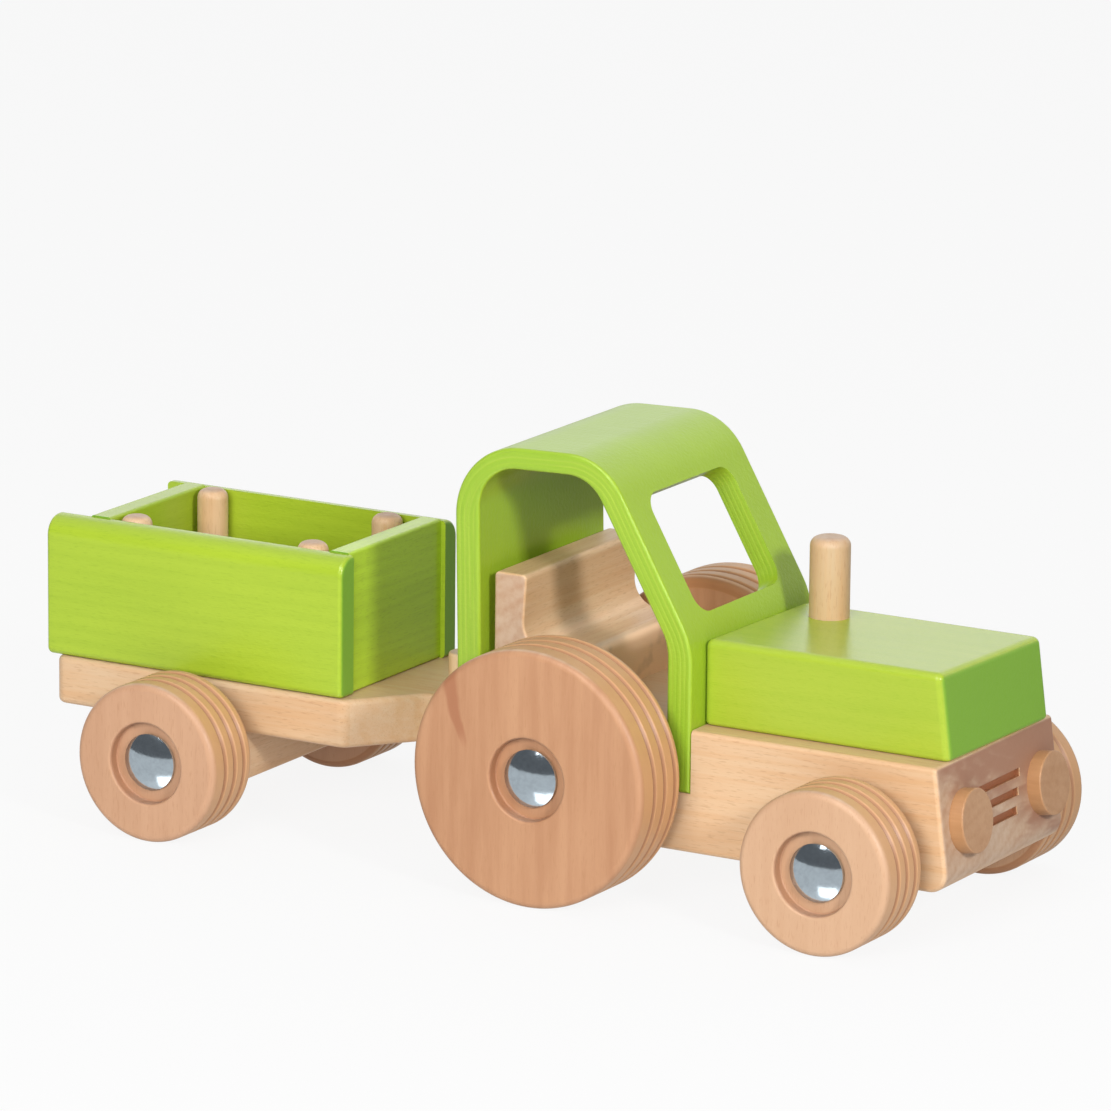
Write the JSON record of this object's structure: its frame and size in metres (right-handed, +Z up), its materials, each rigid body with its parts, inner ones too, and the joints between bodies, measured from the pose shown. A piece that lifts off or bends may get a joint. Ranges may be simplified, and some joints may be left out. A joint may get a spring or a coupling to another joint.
{
  "type": "toy tractor",
  "caption": "Wooden toy tractor with a bent-plywood cab, bench seat, hood, exhaust peg and rolling wheels, towing a two-wheel trailer with a lift-off box.",
  "frame": {"origin": "on the floor, under the middle of the tractor and trailer together", "axes": "+X forward along the tractor's nose, +Y to the tractor's left, +Z up"},
  "size_m": [0.2652, 0.1098, 0.1093],
  "materials": {
    "beech": "pale beech, satin clear lacquer, fine flecks",
    "wheel_beech": "turned beech, slightly redder, satin clear lacquer",
    "green_beech": "yellow-green wood stain, satin, grain showing through",
    "green_plywood": "bent plywood in yellow-green stain, satin, plies faintly visible on the edges",
    "cap_steel": "polished domed push-on caps",
    "axle_steel": "plain bright steel rod"
  },
  "bodies": {
    "tractor": {"chassis": "beech", "drawbar": "beech", "hitch_pin": "beech", "hood": "green_beech", "exhaust_peg": "beech", "cab": "green_plywood", "seat": "beech", "headlight_left": "beech", "headlight_right": "beech", "seat_dowel_left": "beech", "seat_dowel_right": "beech", "cab_dowel_left": "beech", "cab_dowel_right": "beech", "hood_dowel_front": "beech", "hood_dowel_rear": "beech", "rear_axle": "axle_steel", "rear_cap_left": "cap_steel", "rear_cap_right": "cap_steel", "front_axle": "axle_steel", "front_cap_left": "cap_steel", "front_cap_right": "cap_steel"},
    "trailer": {"trailer_base": "beech", "trailer_axle_block": "beech", "axle_block_dowel_front": "beech", "axle_block_dowel_rear": "beech", "trailer_axle": "axle_steel", "trailer_cap_left": "cap_steel", "trailer_cap_right": "cap_steel", "stake_front_left": "beech", "stake_front_right": "beech", "stake_rear_left": "beech", "stake_rear_right": "beech"},
    "box": {"side_board_left": "green_beech", "side_board_right": "green_beech", "end_board_front": "green_beech", "end_board_rear": "green_beech", "corner_pins_front": "beech", "corner_pins_rear": "beech"},
    "rear_wheel_left": {"rear_wheel_left": "wheel_beech"},
    "rear_wheel_right": {"rear_wheel_right": "wheel_beech"},
    "front_wheel_left": {"front_wheel_left": "wheel_beech"},
    "front_wheel_right": {"front_wheel_right": "wheel_beech"},
    "trailer_wheel_left": {"trailer_wheel_left": "wheel_beech"},
    "trailer_wheel_right": {"trailer_wheel_right": "wheel_beech"}
  },
  "joints": [
    {"name": "trailer_yaw", "type": "hinge", "parent": "tractor", "child": "trailer", "pos_m": [-0.0246, 0, 0.0246], "axis": [0, 0, 1], "range_deg": [-55, 55]},
    {"name": "rear_wheel_left_spin", "type": "hinge", "parent": "tractor", "child": "rear_wheel_left", "pos_m": [0.0259, 0.0449, 0.0325], "axis": [0, 1, 0], "continuous": true},
    {"name": "rear_wheel_right_spin", "type": "hinge", "parent": "tractor", "child": "rear_wheel_right", "pos_m": [0.0259, -0.0449, 0.0325], "axis": [0, 1, 0], "continuous": true},
    {"name": "front_wheel_left_spin", "type": "hinge", "parent": "tractor", "child": "front_wheel_left", "pos_m": [0.1053, 0.0407, 0.0205], "axis": [0, 1, 0], "continuous": true},
    {"name": "front_wheel_right_spin", "type": "hinge", "parent": "tractor", "child": "front_wheel_right", "pos_m": [0.1053, -0.0452, 0.0205], "axis": [0, 1, 0], "continuous": true},
    {"name": "trailer_wheel_left_spin", "type": "hinge", "parent": "trailer", "child": "trailer_wheel_left", "pos_m": [-0.0854, 0.0407, 0.0205], "axis": [0, 1, 0], "continuous": true},
    {"name": "trailer_wheel_right_spin", "type": "hinge", "parent": "trailer", "child": "trailer_wheel_right", "pos_m": [-0.0854, -0.0452, 0.0205], "axis": [0, 1, 0], "continuous": true},
    {"name": "box_lift", "type": "slide", "parent": "trailer", "child": "box", "axis": [0, 0, 1], "range_m": [0, 0.04]}
  ]
}
